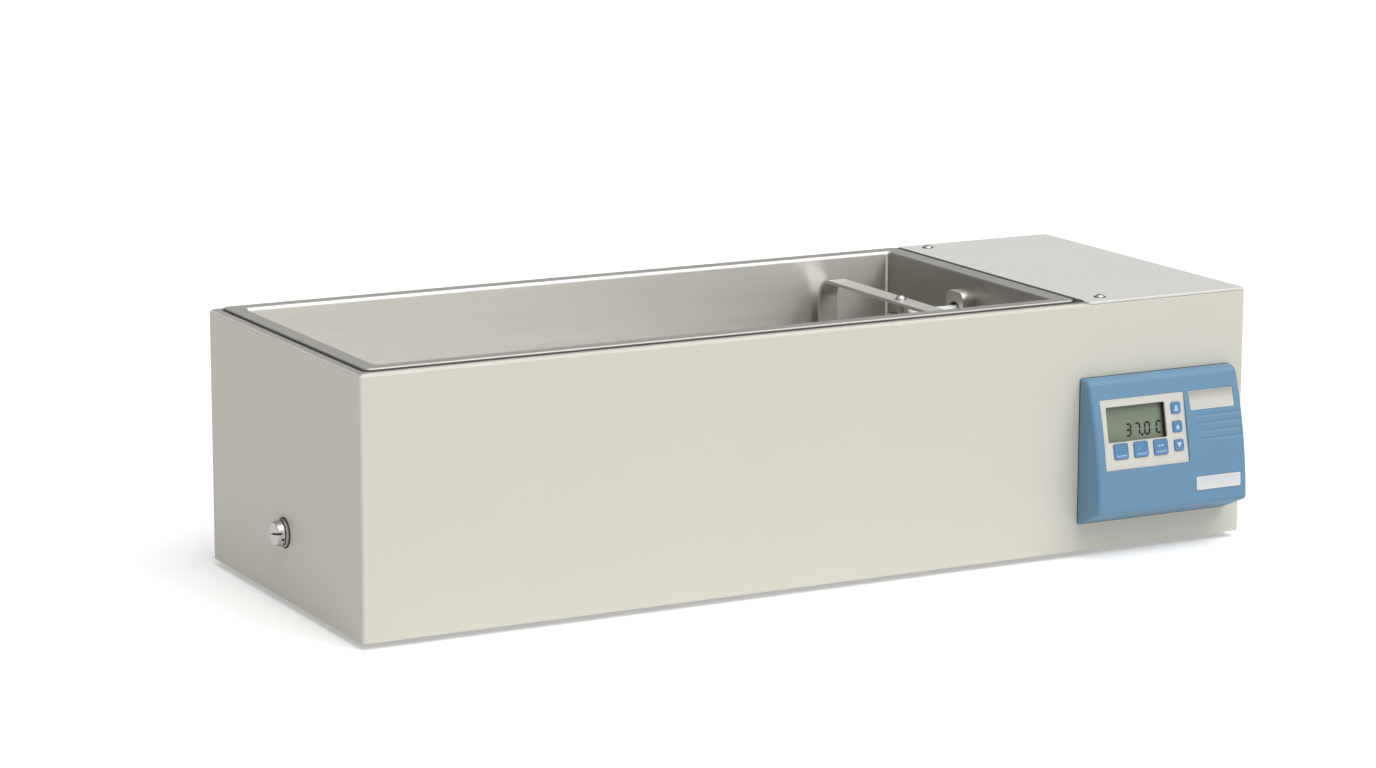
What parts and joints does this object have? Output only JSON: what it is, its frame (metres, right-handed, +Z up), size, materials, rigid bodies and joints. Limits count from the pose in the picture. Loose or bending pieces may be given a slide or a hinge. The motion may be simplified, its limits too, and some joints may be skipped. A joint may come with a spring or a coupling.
{
  "type": "shaking water bath",
  "caption": "Bench shaking water bath: a stainless tank in a painted casing, a reciprocating tray on a crank drive, a sloped keypad console and a slotted drain plug.",
  "frame": {"origin": "middle of the footprint on the bench surface, under the feet", "axes": "+X along the front towards the control console, +Y from the front to the back, +Z up"},
  "size_m": [0.8496, 0.3594, 0.2264],
  "materials": {
    "painted_steel": "fine textured warm light-grey powder coat",
    "galvanised_steel": "zinc-plated sheet",
    "screw_steel": "bright steel",
    "rubber": "matte black rubber",
    "stainless": "brushed stainless sheet",
    "stainless_bar": "satin stainless bar",
    "insulation": "mineral wool blanket",
    "blue_plastic": "fine-grained blue moulding",
    "cream_plastic": "smooth cream plastic",
    "display": "grey-green liquid crystal cell",
    "black_plastic": "black moulded plastic",
    "circuit_board": "green circuit board",
    "key_rubber": "blue keypad rubber",
    "silver_plate": "bare satin plate",
    "white_plate": "bare white plate",
    "plated_brass": "nickel-plated brass",
    "white_plastic": "white acetal",
    "cast_aluminium": "machined aluminium",
    "bronze": "sintered bronze",
    "machined_steel": "turned steel",
    "grey_paint": "dark grey paint",
    "heater_sheath": "heat-darkened tube"
  },
  "bodies": {
    "cabinet": {"casing": "painted_steel", "base_pan": "galvanised_steel", "base_screws": "screw_steel", "feet": "rubber", "tank": "stainless", "tank_insulation": "insulation", "top_cover": "painted_steel", "cover_screws": "screw_steel", "console_shell": "blue_plastic", "console_screws": "screw_steel", "keypad_plate": "cream_plastic", "display_cell": "display", "display_holder": "black_plastic", "control_board": "circuit_board", "key_switches": "black_plastic", "upper_plate": "silver_plate", "lower_plate": "white_plate", "drain_fitting": "plated_brass", "drain_nut": "plated_brass", "drain_gasket": "rubber", "guide_block": "stainless_bar", "guide_bush": "black_plastic", "gearbox": "grey_paint", "motor": "grey_paint", "motor_bracket": "galvanised_steel", "drive_screws": "screw_steel", "heater": "heater_sheath", "heater_clamps": "galvanised_steel", "temperature_sensor": "cast_aluminium", "power_board": "circuit_board", "mains_inlet": "black_plastic", "switch_frame": "black_plastic"},
    "carriage": {"hanger": "stainless_bar", "hanger_fasteners": "screw_steel", "drive_sleeve": "white_plastic", "push_rod": "stainless_bar", "wrist_pin": "screw_steel", "tray": "stainless", "tray_screws": "screw_steel", "tray_axles": "stainless_bar"},
    "con_rod": {"connecting_rod": "cast_aluminium", "rod_bushes": "bronze"},
    "crank": {"crank_disc": "machined_steel", "crank_pin": "machined_steel", "output_shaft": "machined_steel"},
    "drain_seal": {"drain_washer": "rubber"},
    "plug": {"drain_plug": "plated_brass"},
    "rocker": {"switch_rocker": "black_plastic"},
    "roller_front_left_body": {"roller_front_left": "white_plastic"},
    "roller_front_right_body": {"roller_front_right": "white_plastic"},
    "roller_rear_left_body": {"roller_rear_left": "white_plastic"},
    "roller_rear_right_body": {"roller_rear_right": "white_plastic"},
    "key_left_body": {"key_left": "key_rubber"},
    "key_middle_body": {"key_middle": "key_rubber"},
    "key_right_body": {"key_right": "key_rubber"},
    "key_up_body": {"key_up": "key_rubber"},
    "key_select_body": {"key_select": "key_rubber"},
    "key_down_body": {"key_down": "key_rubber"}
  },
  "joints": [
    {"name": "tray_slide", "type": "slide", "parent": "cabinet", "child": "carriage", "axis": [1, 0, 0], "range_m": [-0.0125, 0.0125]},
    {"name": "conrod_pivot", "type": "hinge", "parent": "carriage", "child": "con_rod", "pos_m": [0.29305, 0.01467, 0.1915], "axis": [0, 0, 1], "range_deg": [-0.07, 23.98]},
    {"name": "crank_turn", "type": "hinge", "parent": "cabinet", "child": "crank", "pos_m": [0.35305, 0.01467, 0.1915], "axis": [0, 0, 1], "continuous": true},
    {"name": "roller_front_left_spin", "type": "hinge", "parent": "carriage", "child": "roller_front_left_body", "pos_m": [-0.30525, -0.10233, 0.064], "axis": [0, 1, 0], "range_deg": [-64, 64]},
    {"name": "roller_front_right_spin", "type": "hinge", "parent": "carriage", "child": "roller_front_right_body", "pos_m": [0.11875, -0.10233, 0.064], "axis": [0, 1, 0], "range_deg": [-64, 64]},
    {"name": "roller_rear_left_spin", "type": "hinge", "parent": "carriage", "child": "roller_rear_left_body", "pos_m": [-0.30525, 0.13167, 0.064], "axis": [0, 1, 0], "range_deg": [-64, 64]},
    {"name": "roller_rear_right_spin", "type": "hinge", "parent": "carriage", "child": "roller_rear_right_body", "pos_m": [0.11875, 0.13167, 0.064], "axis": [0, 1, 0], "range_deg": [-64, 64]},
    {"name": "key_left_press", "type": "slide", "parent": "cabinet", "child": "key_left_body", "axis": [0, 0.9781, -0.2079], "range_m": [0, 0.0008], "stiffness_N_per_m": 400, "springref_m": -0.0006},
    {"name": "key_middle_press", "type": "slide", "parent": "cabinet", "child": "key_middle_body", "axis": [0, 0.9781, -0.2079], "range_m": [0, 0.0008], "stiffness_N_per_m": 400, "springref_m": -0.0006},
    {"name": "key_right_press", "type": "slide", "parent": "cabinet", "child": "key_right_body", "axis": [0, 0.9781, -0.2079], "range_m": [0, 0.0008], "stiffness_N_per_m": 400, "springref_m": -0.0006},
    {"name": "key_up_press", "type": "slide", "parent": "cabinet", "child": "key_up_body", "axis": [0, 0.9781, -0.2079], "range_m": [0, 0.0008], "stiffness_N_per_m": 400, "springref_m": -0.0006},
    {"name": "key_select_press", "type": "slide", "parent": "cabinet", "child": "key_select_body", "axis": [0, 0.9781, -0.2079], "range_m": [0, 0.0008], "stiffness_N_per_m": 400, "springref_m": -0.0006},
    {"name": "key_down_press", "type": "slide", "parent": "cabinet", "child": "key_down_body", "axis": [0, 0.9781, -0.2079], "range_m": [0, 0.0008], "stiffness_N_per_m": 400, "springref_m": -0.0006},
    {"name": "rocker_tip", "type": "hinge", "parent": "cabinet", "child": "rocker", "pos_m": [0.33475, 0.17559, 0.048], "axis": [0, 0, 1], "range_deg": [0, 20]},
    {"name": "drain_back_off", "type": "slide", "parent": "cabinet", "child": "drain_seal", "axis": [-1, 0, 0], "range_m": [0, 0.0045]},
    {"name": "drain_turn", "type": "hinge", "parent": "drain_seal", "child": "plug", "pos_m": [-0.41525, 0.01467, 0.0625], "axis": [-1, 0, 0], "range_deg": [0, 1081]}
  ],
  "couplings": [
    {"joint": "roller_front_left_spin", "follows": "tray_slide", "rad_per_m": 83.333},
    {"joint": "roller_front_right_spin", "follows": "tray_slide", "rad_per_m": 83.333},
    {"joint": "roller_rear_left_spin", "follows": "tray_slide", "rad_per_m": 83.333},
    {"joint": "roller_rear_right_spin", "follows": "tray_slide", "rad_per_m": 83.333},
    {"joint": "drain_turn", "follows": "drain_back_off", "rad_per_m": 4188.8}
  ]
}
